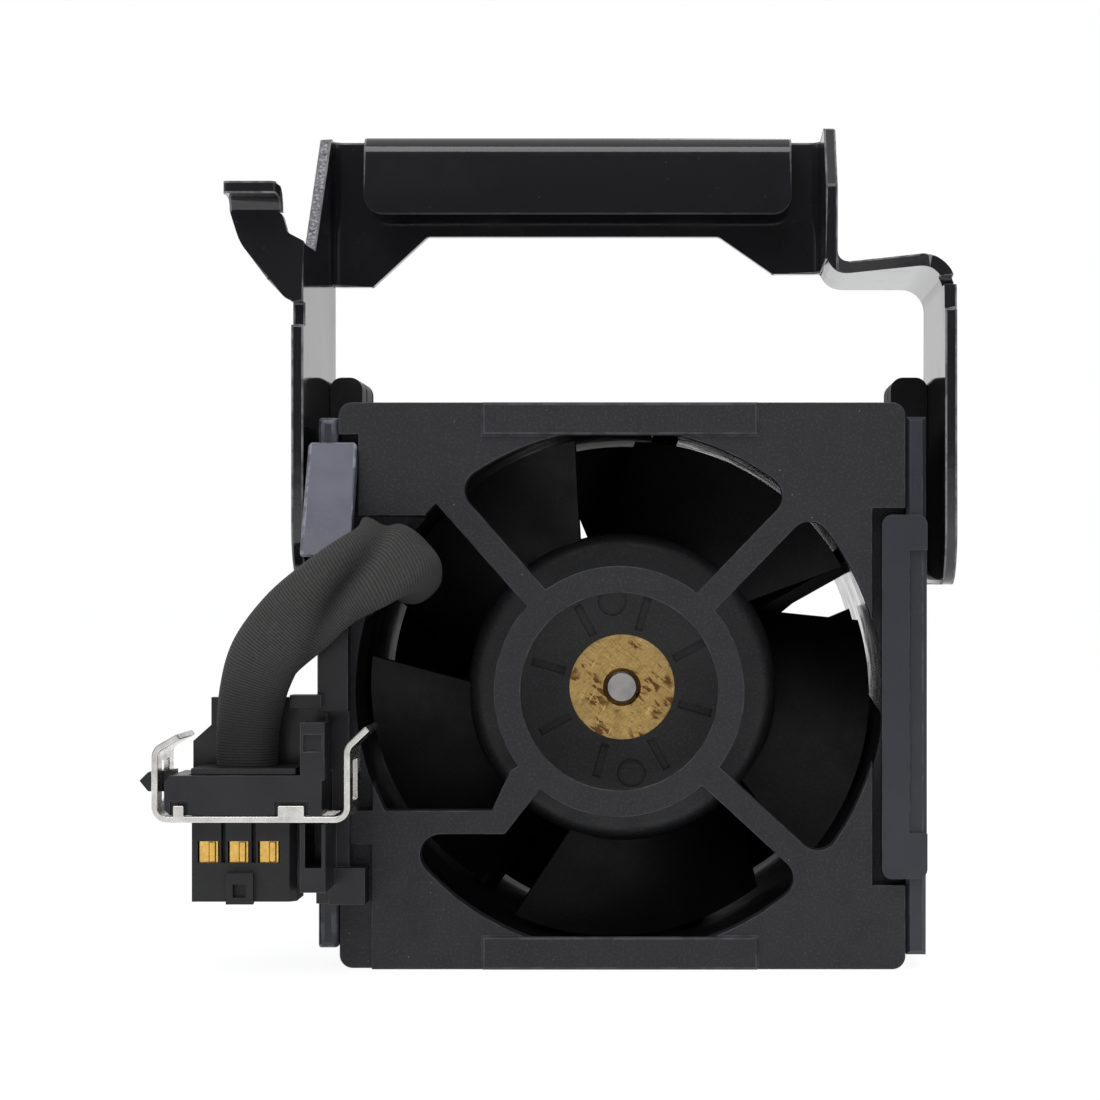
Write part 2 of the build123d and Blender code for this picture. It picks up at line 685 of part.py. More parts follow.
def handle_bracket():
    """Folded steel handle: two arms, a back web with a hemmed lip, a side step and a finger tab."""
    inner_left = arm_left_x + sheet
    inner_neck = neck_right_x - sheet
    inner_right = arm_right_x - sheet
    web_front = arm_depth - sheet

    # left arm
    left = extrude_x(
        ((0, arm_bottom), (arm_depth, arm_bottom), (arm_depth, handle_top), (left_tip_y, handle_top),
         (left_shoulder_y, left_shoulder_z), (0, left_shoulder_z)),
        (arm_left_x, inner_left),
        (arm_corner, arm_back_corner, 0, 1.0, 2.0, 0))
    left -= block((arm_left_x, inner_left), (0, notch_depth), notch_z)
    horn = [(arm_left_x + x, handle_top + z) for x, z in horn_outline]

    # upper arms and web, bent from one strip
    bent = strip_face(((arm_left_x, 12), (arm_left_x, arm_depth), (neck_right_x, arm_depth),
                       (neck_right_x, right_neck_y)), sheet, (bend_inner, bend_inner))
    top_strip = Pos(0, 0, web_foot_left[0]) * extrude(bent, amount=handle_top - web_foot_left[0])
    bend = bend_inner + sheet
    window = extrude_y(
        ((inner_left - 5, web_foot_left[0] - 1), (web_foot_left[1], web_foot_left[0] - 1),
         (web_foot_left[1], web_foot_left[0]), (web_foot_left[2], web_bottom),
         (web_foot_right[2], web_bottom), (web_foot_right[1], web_foot_right[0]),
         (neck_right_x + 1, web_foot_right[0]), (neck_right_x + 1, web_foot_left[0] - 1)),
        (right_neck_y - 1, arm_depth + 1))
    left_slope = extrude_x(
        ((-5, left_shoulder_z - 3), (left_shoulder_y, left_shoulder_z - 3),
         (left_shoulder_y, left_shoulder_z), (left_tip_y, handle_top), (left_tip_y, handle_top + 1),
         (-5, handle_top + 1)), (arm_left_x - 1, inner_left))
    right_slope = extrude_x(
        ((-5, right_shoulder_z), (right_neck_y, right_shoulder_z), (right_tip_y, handle_top + 1),
         (-5, handle_top + 1)), (inner_neck, neck_right_x + 1))
    top_strip = top_strip - window - left_slope

    # neck, shelf and lower arm, bent from one strip
    stepped = strip_face(((inner_neck, handle_top), (inner_neck, shelf_top - sheet),
                          (inner_right, shelf_top - sheet), (inner_right, arm_bottom)),
                         -sheet, (bend_inner, shoulder_bend))
    side = Pos(0, arm_depth, 0) * extrude(Plane.XZ * stepped, amount=arm_depth)
    slant = make_face(Polyline((inner_neck - 2, -1), (arm_right_x + 2, -1), (arm_right_x + 2, 0),
                               (inner_right - 1.5, shelf_front_y), (neck_right_x, right_neck_y),
                               (inner_neck - 2, right_neck_y), close=True))
    side -= Pos(0, 0, shelf_top - 6) * extrude(slant, amount=handle_top)
    side -= block((inner_neck, neck_right_x), (arm_depth - bend, arm_depth),
                  (shelf_top + bend_inner, handle_top))
    side -= extrude_x(((-1, arm_bottom - 1), (arm_corner, arm_bottom - 1), (arm_corner, arm_bottom),
                       (0, arm_bottom + arm_corner), (-1, arm_bottom + arm_corner)),
                      (inner_right - 1, arm_right_x + 1)) - Pos(
        0, arm_corner, arm_bottom + arm_corner) * Rot(0, 90, 0) * Cylinder(arm_corner, 200)
    side -= block((inner_right - 1, arm_right_x + 1), (-1, right_notch_depth), right_notch_z)
    bracket = left + top_strip + side - right_slope

    # hemmed lip in front of the web
    hem = strip_face(((web_front, handle_top - 4), (web_front, handle_top - sheet),
                      (lip_front + sheet, handle_top - sheet), (lip_front + sheet, lip_bottom)),
                     sheet, (hem_bend, hem_bend))
    lip = Pos(lip_x[0], 0, 0) * extrude(Plane.YZ * hem, amount=lip_x[1] - lip_x[0])
    lip = fillet([e for e in lip.edges().filter_by(Axis.Y)
                  if abs(e.center().Z - lip_bottom) < 0.01], lip_corner)

    # finger tab, bent outwards from the front edge of the left arm and curled forward
    tab = extrude_y(horn, (0, sheet), horn_radii)
    (flap_x, flap_z), (flap_end, _) = horn[4:6]
    under = flap_z + horn_rise - sheet
    curl = strip_face(((0, flap_z), (0, under), (-horn_curl, under)), sheet, (bend_inner,))
    flap = Pos(flap_x, 0, 0) * extrude(Plane.YZ * curl, amount=flap_end - flap_x)
    flap = fillet([e for e in flap.edges().filter_by(Axis.Z)
                   if abs(e.center().Y + horn_curl) < 0.01], 0.6)
    bracket = bracket + lip + tab + flap

    for x in (arm_left_x, inner_right):
        for z in screw_z:
            bracket -= Pos(x + sheet / 2, screw_y, z) * Rot(0, 90, 0) * Cylinder(
                screw_radius + screw_clearance, sheet * 2)
            bracket -= screw_sink(x < 0, z)
    return bracket


def screw_sink(on_left, z):
    """The cone that a countersunk head takes out of an arm."""
    depth = sheet * 0.85
    outside = arm_left_x if on_left else arm_right_x
    cone = Cone(screw_radius, screw_head_radius, depth)
    turn = -90 if on_left else 90
    inward = depth / 2 if on_left else -depth / 2
    return Pos(outside + inward, screw_y, z) * Rot(0, turn, 0) * cone


def mount_screws():
    """Countersunk screws from each arm into the rubber mounts."""
    screws = []
    end = fan_size / 2 + screw_end_gap
    for on_left, outside in ((True, arm_left_x), (False, arm_right_x)):
        length = abs(outside) - end
        middle = math.copysign(end + length / 2, outside)
        for z in screw_z:
            shank = Pos(middle, screw_y, z) * Rot(0, 90, 0) * Cylinder(screw_radius, length)
            screw = shank + screw_sink(on_left, z)
            long, wide, deep = screw_cross
            for spread in ((long, wide), (wide, long)):
                screw -= Pos(outside, screw_y, z) * Box(deep * 2, *spread)
            screws.append(screw)
    return screws


def rubber_mount(fan_side, arm_side):
    """Rubber block between a fan flange and an arm, with lips over the flange edges."""
    x = (min(fan_side, arm_side), max(fan_side, arm_side))
    pad = block(x, mount_y, mount_z)
    pad = fillet(pad.edges().filter_by(Axis.Y), mount_corner)
    middle = sum(x) / 2
    for z in screw_z:
        pad -= Pos(middle, screw_y, z) * Rot(0, 90, 0) * Cylinder(screw_radius, 20)
    wide, deep = mount_slot
    for y in mount_slot_places:
        pad -= block(x, (y, y + wide), (mount_z[1] - deep, mount_z[1]))
    return pad


def right_rail():
    """Moulded guide rail on the right, with a slotted hook over the inlet face."""
    start = fan_size / 2 + rail_gap
    rail = block((start, start + rail_thick), rail_y, right_rail_z)
    rail = chamfer(rail.faces().sort_by(Axis.Y)[0].edges(), rail_chamfer)
    hook_z = (hook_pocket_z[0] + hook_gap_end, hook_pocket_z[1] - hook_gap_end)
    hook = block((hook_pocket_x + hook_gap_side, hook_reach), (hook_front, hook_back), hook_z)
    hook = fillet(hook.edges().filter_by(Axis.Y), hook_corner)
    hook -= block(hook_slot_x, (hook_front, hook_front + hook_slot_depth), hook_slot_z)
    return rail + hook


def left_rail():
    """Moulded guide rail on the left."""
    rail = block(left_rail_x(), rail_y, left_rail_z)
    return chamfer(rail.faces().sort_by(Axis.Y)[0].edges(), rail_chamfer)


def left_rail_x():
    start = -fan_size / 2 - rail_gap
    return (start - rail_thick, start)


def cable_hood():
    """Sloping hood over the cable, with an arch where the sleeve passes under it."""
    low, high = hood_z
    seat = rail_y[0]
    outline = ((seat, high), (hood_lip_y, low), (hood_lip_y + hood_thick, low),
               (seat, high - 3.0))
    hood = extrude_x(outline, hood_x)
    return hood - tube(sleeve_route, sleeve_radius + hood_lead_gap)[0]


def connector_carrier():
    """Cradle that holds the floating connector, with its post, guide wall and face plate."""
    opening = (plug_x[0] - plug_side_play, plug_x[1] + plug_side_play)
    cradle = block(cradle_x, cradle_y, cradle_z)
    cradle -= block(opening, (plug_y[0] - flange_play, plug_y[1] + flange_play), cradle_z)
    cradle = chamfer(cradle.edges().filter_by(Axis.Y).sort_by(Axis.X)[:2], 0.6)
    for low, high in clip_tabs:
        cradle -= block((low - clip_tab_gap, high + clip_tab_gap),
                        (cradle_y[0], clip_y[0] + clip_thick + clip_tab_gap),
                        (cradle_z[0], clip_bottom + clip_thick + clip_tab_rise + clip_tab_gap))
    nub = extrude_y(((cradle_x[0] + 0.5, nub_z + 1.1), (nub_x + 0.9, nub_z + 0.9),
                     (nub_x, nub_z), (nub_x + 0.9, nub_z - 1.1),
                     (cradle_x[0] + 0.5, nub_z - 1.1)), nub_y)
    post = block(post_x, (cradle_y[0], post_back_y), (cradle_z[1] - 0.5, post_top))
    post -= block((post_x[0] + 0.3, post_x[1] - 0.3), (cradle_y[0], cradle_y[0] + 0.6),
                  (post_top - 3.0, post_top - 1.2))
    step_x, step_low, step_high = guide_step
    guide = extrude_y(((guide_x[0], cradle_z[1] - 0.5), (guide_x[1], cradle_z[1] - 0.5),
                       (guide_x[1], guide_top), (step_x, guide_top), (step_x, step_high),
                       (guide_x[0], step_low)), guide_y)
    side = block(side_block_x, cradle_y, (carrier_plate_z[0], side_block_top))
    side -= block(side_window_x, (cradle_y[0], cradle_y[1] - 1.5), side_window_z)
    face = -carrier_gap
    plate = block(carrier_plate_x, (carrier_back_y, face), carrier_plate_z)
    wall = block(carrier_wall_x, (carrier_back_y - 0.3, face), carrier_wall_z)
    rib = block(carrier_rib_x, (carrier_rib_y, face), carrier_rib_z)
    ledge = block((carrier_ledge_x, carrier_rib_x[0] + 0.5), (carrier_ledge_y, carrier_back_y),
                  carrier_ledge_z)
    seat = block((left_rail_x()[0], left_rail_x()[1]), (face - 0.2, rail_y[0]),
                 (carrier_plate_z[0], carrier_rib_z[1]))
    arm = block((side_block_x[1] - 0.6, face_arm_x), (face_arm_y, face), face_arm_z)
    arm += block((-fan_size / 2 + 0.05, face_arm_x), (face - 0.2, foot_panel_depth), face_arm_z)
    arm += block((left_rail_x()[0], -fan_size / 2 + 0.1), (carrier_back_y, face),
                 (face_arm_z[0], carrier_plate_z[0] + 0.5))
    link = block((carrier_plate_x[0], cradle_x[1]), (cradle_y[1] - 0.3, carrier_back_y + 0.3),
                 (carrier_plate_z[0], cradle_z[1]))
    return cradle + nub + post + guide + side + plate + wall + rib + ledge + seat + arm + link


def contact_places():
    return [contact_first_x + k * contact_pitch for k in range(contact_count)]


def connector_housing():
    """Floating plug: a flanged neck in the cradle, contact windows, and a keyed socket below."""
    flange_base = cradle_z[1] + flange_play
    body = block(plug_x, plug_y, (plug_bottom, flange_base))
    body = chamfer(body.edges().filter_by(Axis.Z).sort_by(Axis.X)[-2:], 0.7)
    body += block(plug_x, (plug_y[0] - flange_lap, plug_y[1] + flange_lap),
                  (flange_base, flange_base + flange_height))
    for x in contact_places()[1:]:
        middle = x - contact_pitch / 2
        body -= block((middle - groove_width / 2, middle + groove_width / 2),
                      (plug_y[0], plug_y[0] + groove_depth), (contact_window_z[0], groove_top))
    for x in contact_places():
        half = contact_window / 2
        body -= block((x - half, x + half), (plug_y[0], plug_y[0] + contact_window_depth),
                      contact_window_z)
        for y in contact_row_y:
            hole = contact_width / 2 + contact_play
            body -= block((x - hole, x + hole), (y - hole, y + hole),
                          (plug_bottom, cradle_z[1] - 1))
    body += block(key_x, (plug_y[0] - key_rise, plug_y[0]), key_z)
    middle = sum(key_x) / 2
    body -= block((middle - key_hole / 2, middle + key_hole / 2),
                  (plug_y[0] - key_rise, plug_y[0]), (key_z[0] + 0.7, key_z[0] + 0.7 + key_hole))
    return body


def connector_contacts():
    """Two rows of contacts, each a folded tube in its own hole, the front ones with a sprung leaf."""
    contacts = []
    half = contact_width / 2
    bore = half - contact_wall
    top = cradle_z[1] - 1
    leaf_offset, leaf_radius = contact_leaf
    for x in contact_places():
        for y in contact_row_y:
            sleeve_box = block((x - half, x + half), (y - half, y + half), (plug_bottom + 0.8, top))
            sleeve_box -= block((x - bore, x + bore), (y - bore, y + bore), (plug_bottom, top - 1))
            if y == contact_row_y[0]:
                low, high = contact_window_z
                sleeve_box += disc(leaf_radius, low + contact_play, high - contact_play,
                                   (x + leaf_offset, y - half + leaf_radius / 2)) - block(
                    (x - bore, x + bore), (y - bore, y + bore), (low, high))
            contacts.append(sleeve_box)
    return contacts


def spring_clip():
    """Bright spring strip bent round the cradle, with windows for the connector and the nub,
    and two tabs that stand in the cradle's notches."""
    path = ((clip_left_x + 2.6, clip_left_top + 1.5), (clip_left_x, clip_left_top),
            (clip_left_x, clip_bottom), (clip_right_x, clip_bottom),
            (clip_right_x, clip_right_top), (clip_right_x + clip_flare, clip_right_top + 1.9))
    section = strip_face(path, -clip_thick, [clip_bend - clip_thick] * (len(path) - 2))
    strip = Pos(0, clip_y[1], 0) * extrude(Plane.XZ * section, amount=clip_y[1] - clip_y[0])
    flat = (clip_left_x + clip_bend + 0.6, clip_right_x - clip_bend - 0.3)
    strip -= block(flat, (clip_y[0] + clip_rail, clip_y[1] - clip_rail),
                   (clip_bottom - 1, clip_bottom + clip_thick + 0.1))
    for x in (clip_left_x, clip_right_x):
        strip -= block((x - 1, x + 1), (clip_y[0] + clip_window_margin,
                                        clip_y[1] - clip_window_margin), clip_window_z)
    for tab in clip_tabs:
        strip += block(tab, (clip_y[0], clip_y[0] + clip_thick),
                       (clip_bottom, clip_bottom + clip_thick + clip_tab_rise))
    return strip


def tube(points, radius, largest_bend=math.inf):
    """A round lead along straight runs joined by tangent arcs."""
    places = [Vector(*p) for p in points]
    radii = []
    for a, b, c in zip(places, places[1:], places[2:]):
        turn = math.radians((b - a).get_angle(c - b))
        run = min((b - a).length, (c - b).length)
        radii.append(min(0.45 * run / math.tan(turn / 2), largest_bend))
    path = FilletPolyline(*places, radius=radii)
    start = Plane(origin=places[0], z_dir=places[1] - places[0])
    return sweep(start * Circle(radius), path=path), radii, path.length


def lead_wires():
    """Leads from the sleeve, out through the pocket and back along the barrel to each board."""
    mouth_x, mouth_y, mouth_z = sleeve_route[-1]
    turn_y = mouth_y + wire_start_gap + 1.6
    wires = []
    for upright, spread in ((1, 0.0), (-1, wire_spread)):
        z = mouth_z + spread
        depth = wire_depth(upright)
        corner = point_on_lead_line((wire_out_x() - axis_x) / math.cos(math.radians(lead_angle())),
                                    depth)
        bend = (wire_out_x(), depth, z) if upright > 0 else (wire_out_x(), depth - 2.4, z)
        points = [(mouth_x, mouth_y + wire_start_gap, z), (mouth_x, turn_y, z),
                  (wire_out_x(), turn_y, z), bend]
        if upright < 0:
            points.append(corner)
        points.append(point_on_lead_line(board_radius + 0.02, depth))
        wires.append(tube(points, wire_radius, wire_bend)[0])
    return wires


def save(name, shape):
    """Writes one node, a single solid or a group of separate ones."""
    if isinstance(shape, (list, ShapeList)):
        shape = Compound(children=[s for item in shape for s in item.solids()])
    elif len(shape.solids()) == 1:
        shape = shape.solids()[0]
    shape.label = name
    export_step(shape, f"parts/{name}.step")


sleeve, sleeve_radii, sleeve_length = tube(sleeve_route, sleeve_radius)
print("sleeve length", round(sleeve_length, 2), "bends", [round(r, 1) for r in sleeve_radii])
print("sleeve volume share", round(
    sleeve.volume / (math.pi * sleeve_radius ** 2 * sleeve_length), 4))

save("front_guard", front_guard())
save("front_housing", front_housing())
save("rear_housing", rear_housing())
save("front_motor_base", to_front(motor_base(1)))
save("rear_motor_base", to_rear(motor_base(-1)))
save("joining_screws", joining_screws())

front_rotor = impeller(front_blades, front_rest_angle, front_low_edge, front_high_edge, front_camber)
rear_rotor = impeller(rear_blades, rear_rest_angle, rear_low_edge, rear_high_edge, rear_camber)

for side, place, rotor in (("front", to_front, front_rotor), ("rear", to_rear, rear_rotor)):
    save(f"{side}_impeller", place(rotor))
    save(f"{side}_hub_bush", place(hub_bush()))
    save(f"{side}_shaft", place(shaft()))
    save(f"{side}_shaft_retainer", place(shaft_retainer()))
    save(f"{side}_rotor_yoke", place(rotor_yoke()))
    save(f"{side}_magnet_ring", place(magnet_ring()))
    save(f"{side}_bearing_tube", place(bearing_tube()))
    outer_rings = bearing_rings(tube_bore, bearing_split + bearing_play)
    inner_rings = bearing_rings(bearing_split, shaft_radius)
    save(f"{side}_bearing_outer_rings", [place(r) for r in outer_rings])
    save(f"{side}_bearing_inner_rings", [place(r) for r in inner_rings])
    save(f"{side}_stator_core", place(stator_core()))
    save(f"{side}_stator_coils", [place(c) for c in stator_coils()])
    save(f"{side}_circuit_board", place(circuit_board()))

save("handle_bracket", handle_bracket())
save("mount_screws", mount_screws())
save("left_rubber_mount", rubber_mount(-fan_size / 2, arm_left_x + sheet))
save("right_rubber_mount", rubber_mount(fan_size / 2, arm_right_x - sheet))
save("left_rail", left_rail())
save("right_rail", right_rail())
save("cable_hood", cable_hood())
save("connector_carrier", connector_carrier())
save("connector_housing", connector_housing())
save("connector_contacts", connector_contacts())
save("spring_clip", spring_clip())
save("cable_sleeve", sleeve)
save("lead_wires", lead_wires())
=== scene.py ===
import json
import math

import bmesh
import bpy
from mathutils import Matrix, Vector


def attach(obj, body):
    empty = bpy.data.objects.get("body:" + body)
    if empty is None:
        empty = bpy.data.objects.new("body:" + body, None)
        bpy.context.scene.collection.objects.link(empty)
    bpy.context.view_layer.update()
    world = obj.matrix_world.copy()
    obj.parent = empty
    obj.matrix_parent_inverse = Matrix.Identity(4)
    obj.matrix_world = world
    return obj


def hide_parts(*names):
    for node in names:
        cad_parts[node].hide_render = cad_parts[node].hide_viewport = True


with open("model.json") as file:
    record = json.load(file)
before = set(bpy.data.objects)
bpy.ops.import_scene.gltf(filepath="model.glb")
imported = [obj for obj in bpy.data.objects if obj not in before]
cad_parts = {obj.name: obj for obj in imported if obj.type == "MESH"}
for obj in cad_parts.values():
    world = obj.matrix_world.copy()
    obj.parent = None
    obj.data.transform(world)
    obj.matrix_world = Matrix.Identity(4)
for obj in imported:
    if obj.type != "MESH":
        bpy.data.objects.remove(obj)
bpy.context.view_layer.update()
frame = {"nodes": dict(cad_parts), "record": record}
nodes = frame["nodes"]

MM = 0.001
# In millimetres: the fans' axis in X and Z, the plane in Y where the two fans meet, and how far
# from the axis the hubs reach
AXIS = (-0.3, 29.4)
PARTING = 28
HUB_REACH = 17.05


def link(thing):
    bpy.context.scene.collection.objects.link(thing)


# Camera, lamps and floor

def make_camera():
    """The photograph's own view, from about 300 mm in front of the inlet face."""
    data = bpy.data.cameras.new("camera")
    data.sensor_width = 36.0
    data.lens = 92.8
    data.shift_x = -0.1264
    data.shift_y = 0.0273
    camera = bpy.data.objects.new("camera", data)
    camera.location = (0.0071, -0.300, 0.0412)
    camera.rotation_euler = (math.radians(90), 0, 0)
    link(camera)
    bpy.context.scene.camera = camera


def make_lamp(name, place, target, size, power):
    """A soft box that looks at a point of the object."""
    data = bpy.data.lights.new(name, "AREA")
    data.shape = "RECTANGLE"
    data.size, data.size_y = size
    data.energy = power
    lamp = bpy.data.objects.new(name, data)
    lamp.location = place
    aim = Vector(target) - Vector(place)
    lamp.rotation_euler = aim.to_track_quat("-Z", "Y").to_euler()
    link(lamp)


# How bright gloss sees the studio: the same all round, more behind the object, more overhead,
# never less than the fourth, and all of it times the fifth
STUDIO_ROUND, STUDIO_BACK, STUDIO_TOP, STUDIO_LEAST, STUDIO_SHARE = 0.6, 0.75, 0.45, 0.06, 0.8


def make_world():
    """White to the camera, and to gloss as a studio that is darker behind the camera."""
    world = bpy.data.worlds.new("studio")
    bpy.context.scene.world = world
    world.use_nodes = True
    tree = world.node_tree
    tree.nodes.clear()

    def node(kind, **settings):
        made = tree.nodes.new(kind)
        for key, value in settings.items():
            setattr(made, key, value)
        return made

    def math_node(operation, a, b):
        """Sums are kept between 0 and 1."""
        made = node("ShaderNodeMath", operation=operation, use_clamp=operation == "ADD")
        for socket, value in zip(made.inputs, (a, b)):
            if isinstance(value, (int, float)):
                socket.default_value = value
            else:
                tree.links.new(value, socket)
        return made.outputs[0]

    ray = node("ShaderNodeLightPath")
    way = node("ShaderNodeSeparateXYZ")
    tree.links.new(node("ShaderNodeTexCoord").outputs["Generated"], way.inputs[0])
    back = math_node("MULTIPLY", way.outputs["Y"], STUDIO_BACK)
    up = math_node("MULTIPLY", way.outputs["Z"], STUDIO_TOP)
    bright = math_node("ADD", math_node("ADD", back, STUDIO_ROUND), up)
    shown = math_node("MULTIPLY", math_node("MAXIMUM", bright, STUDIO_LEAST), STUDIO_SHARE)
    gloss = math_node("MULTIPLY", ray.outputs["Is Glossy Ray"], shown)
    clear = math_node("MAXIMUM", ray.outputs["Is Camera Ray"],
                      ray.outputs["Is Transmission Ray"])
    ambient = node("ShaderNodeBackground")
    ambient.inputs["Color"].default_value = (0.80, 0.83, 0.88, 1)
    ambient.inputs["Strength"].default_value = 0.55
    white = node("ShaderNodeBackground")
    white.inputs["Color"].default_value = (1, 1, 1, 1)
    tree.links.new(math_node("MAXIMUM", gloss, clear), white.inputs["Strength"])
    pick = node("ShaderNodeMixShader")
    seen = math_node("MAXIMUM", clear, ray.outputs["Is Glossy Ray"])
    tree.links.new(seen, pick.inputs["Fac"])
    tree.links.new(ambient.outputs[0], pick.inputs[1])
    tree.links.new(white.outputs[0], pick.inputs[2])
    tree.links.new(pick.outputs[0], node("ShaderNodeOutputWorld").inputs["Surface"])


# How far the floor reaches in metres, how far it lies under the object in millimetres, and the
# share and strength of the glow in place of its shading, for the camera and for gloss
FLOOR_REACH = 4.0
FLOOR_DROP = 0.05
FLOOR_GLOW_SHARE, FLOOR_GLOW = 0.78, 1.17


def make_floor():
    """A plain pale floor that looks white and still takes the object's shadow."""
    r = FLOOR_REACH
    mesh = bpy.data.meshes.new("floor")
    corners = [(-r, -r, 0), (r, -r, 0), (r, r, 0), (-r, r, 0)]
    mesh.from_pydata(corners, [], [(0, 1, 2, 3)])
    floor = bpy.data.objects.new("floor", mesh)
    floor.location.z = -FLOOR_DROP * MM
    link(floor)
    material = bpy.data.materials.new("floor")
    material.use_nodes = True
    tree = material.node_tree
    shader = tree.nodes["Principled BSDF"]
    shader.inputs["Base Color"].default_value = (0.86, 0.86, 0.86, 1)
    shader.inputs["Roughness"].default_value = 0.9
    shader.inputs["Specular IOR Level"].default_value = 0.1
    ray = tree.nodes.new("ShaderNodeLightPath")
    either = tree.nodes.new("ShaderNodeMath")
    either.operation = "MAXIMUM"
    tree.links.new(ray.outputs["Is Camera Ray"], either.inputs[0])
    tree.links.new(ray.outputs["Is Glossy Ray"], either.inputs[1])
    share = tree.nodes.new("ShaderNodeMath")
    share.operation = "MULTIPLY"
    share.inputs[1].default_value = FLOOR_GLOW_SHARE
    tree.links.new(either.outputs[0], share.inputs[0])
    glow = tree.nodes.new("ShaderNodeEmission")
    glow.inputs["Strength"].default_value = FLOOR_GLOW
    pick = tree.nodes.new("ShaderNodeMixShader")
    tree.links.new(share.outputs[0], pick.inputs["Fac"])
    tree.links.new(shader.outputs[0], pick.inputs[1])
    tree.links.new(glow.outputs[0], pick.inputs[2])
    tree.links.new(pick.outputs[0], tree.nodes["Material Output"].inputs["Surface"])
    mesh.materials.append(material)


# Materials

# The Mix node's first value, second value and result, among its sockets for colours and numbers
MIX_COLOURS = (6, 7, 2)
MIX_NUMBERS = (2, 3, 0)
# The wave texture's scale at which it has one band to the unit
ONE_BAND = math.tau / 20


class Paint:
    """A Principled material built up in layers of colour, roughness and bump."""

    def __init__(self, name, colour, roughness, metallic=0.0, **fixed):
        self.material = bpy.data.materials.new(name)
        self.material.use_nodes = True
        self.tree = self.material.node_tree
        self.inputs = self.tree.nodes["Principled BSDF"].inputs
        self.inputs["Base Color"].default_value = (*colour, 1)
        self.inputs["Roughness"].default_value = roughness
        self.inputs["Metallic"].default_value = metallic
        for key, value in fixed.items():
            self.inputs[key.replace("_", " ")].default_value = value
        self.colour = colour
        self.roughness = roughness
        self.where = self.tree.nodes.new("ShaderNodeTexCoord")

    def node(self, kind, settings=(), **sockets):
        """A node with its settings and with values or links on its sockets."""
        made = self.tree.nodes.new(kind)
        for key, value in dict(settings).items():
            setattr(made, key, value)
        for key, value in sockets.items():
            self.feed(made.inputs[key.replace("_", " ")], value)
        return made

    def feed(self, socket, value):
        if isinstance(value, bpy.types.NodeSocket):
            self.tree.links.new(value, socket)
        elif isinstance(value, tuple) and len(value) == 3 and socket.type == "RGBA":
            socket.default_value = (*value, 1)
        else:
            socket.default_value = value

    def place(self, stretch=(1, 1, 1), turn=(0, 0, 0), at=(0, 0, 0), uv=False):
        """Where a point is on the object, or on the cloth's own chart."""
        source = self.where.outputs["UV" if uv else "Object"]
        return self.node("ShaderNodeMapping", {"vector_type": "TEXTURE"}, Vector=source,
                         Location=at, Rotation=turn,
                         Scale=tuple(1 / s for s in stretch)).outputs[0]

    def noise(self, size, detail=3.0, **where):
        """Smooth noise with features of about that size in millimetres."""
        return self.node("ShaderNodeTexNoise", Vector=self.place(**where),
                         Scale=1 / (size * MM), Detail=detail, Roughness=0.55).outputs["Fac"]

    def cells(self, size):
        """Distance from dots that lie about that many millimetres apart."""
        return self.node("ShaderNodeTexVoronoi", Vector=self.place(),
                         Scale=1 / (size * MM)).outputs["Distance"]

    def waves(self, pitch, axis, uv=False):
        """Ripples of that pitch in millimetres along an axis."""
        return self.node("ShaderNodeTexWave", {"bands_direction": axis},
                         Vector=self.place(uv=uv), Scale=ONE_BAND / (pitch * MM),
                         Distortion=0.0).outputs["Fac"]

    def span(self, value, low, high, to_low=0.0, to_high=1.0):
        """The part of a value between low and high, spread over a new span."""
        made = self.node("ShaderNodeMapRange", {"interpolation_type": "SMOOTHSTEP"},
                         Value=value)
        for key, number in (("From Min", low), ("From Max", high),
                            ("To Min", to_low), ("To Max", to_high)):
            made.inputs[key].default_value = number
        return made.outputs["Result"]

    def times(self, a, b):
        made = self.node("ShaderNodeMath", {"operation": "MULTIPLY"})
        self.feed(made.inputs[0], a)
        self.feed(made.inputs[1], b)
        return made.outputs[0]

    def mix(self, kind, sockets, share, before, after):
        first, second, result = sockets
        made = self.node("ShaderNodeMix", {"data_type": kind})
        self.feed(made.inputs["Factor"], share)
        self.feed(made.inputs[first], before)
        self.feed(made.inputs[second], after)
        return made.outputs[result]

    def tint(self, share, colour):
        """Lays a colour over the ones before, as far as share goes."""
        self.colour = self.mix("RGBA", MIX_COLOURS, share, self.colour, colour)
        self.feed(self.inputs["Base Color"], self.colour)

    def finish(self, share, roughness):
        """Moves the roughness to another value, as far as share goes."""
        self.roughness = self.mix("FLOAT", MIX_NUMBERS, share, self.roughness, roughness)
        self.feed(self.inputs["Roughness"], self.roughness)

    def relief(self, height, depth):
        """Bump of that depth in millimetres on top of what is there."""
        made = self.node("ShaderNodeBump", Height=height, Strength=1.0, Distance=depth * MM)
        if self.inputs["Normal"].is_linked:
            self.feed(made.inputs["Normal"], self.inputs["Normal"].links[0].from_socket)
        self.feed(self.inputs["Normal"], made.outputs[0])


def scaled(colour, factor):
    return tuple(c * factor for c in colour)


def moulded(name, colour, roughness, grain, speck=0.0, pale=2.1, **fixed):
    """Moulded plastic: spark-eroded grain, faint flow marks and a few light specks."""
    paint = Paint(name, colour, roughness, **fixed)
    paint.tint(paint.span(paint.noise(9.0, 2.0), 0.4, 0.65), scaled(colour, 1.15))
    fine = paint.noise(0.26, 2.0)
    paint.tint(paint.span(fine, 0.50, 0.68), scaled(colour, pale))
    paint.finish(paint.span(paint.noise(4.0), 0.35, 0.7), roughness + 0.14)
    paint.relief(fine, grain)
    if speck:
        dots = paint.span(paint.cells(1.9), 0.045, 0.02)
        paint.tint(paint.times(dots, speck), (0.32, 0.32, 0.31))
    return paint


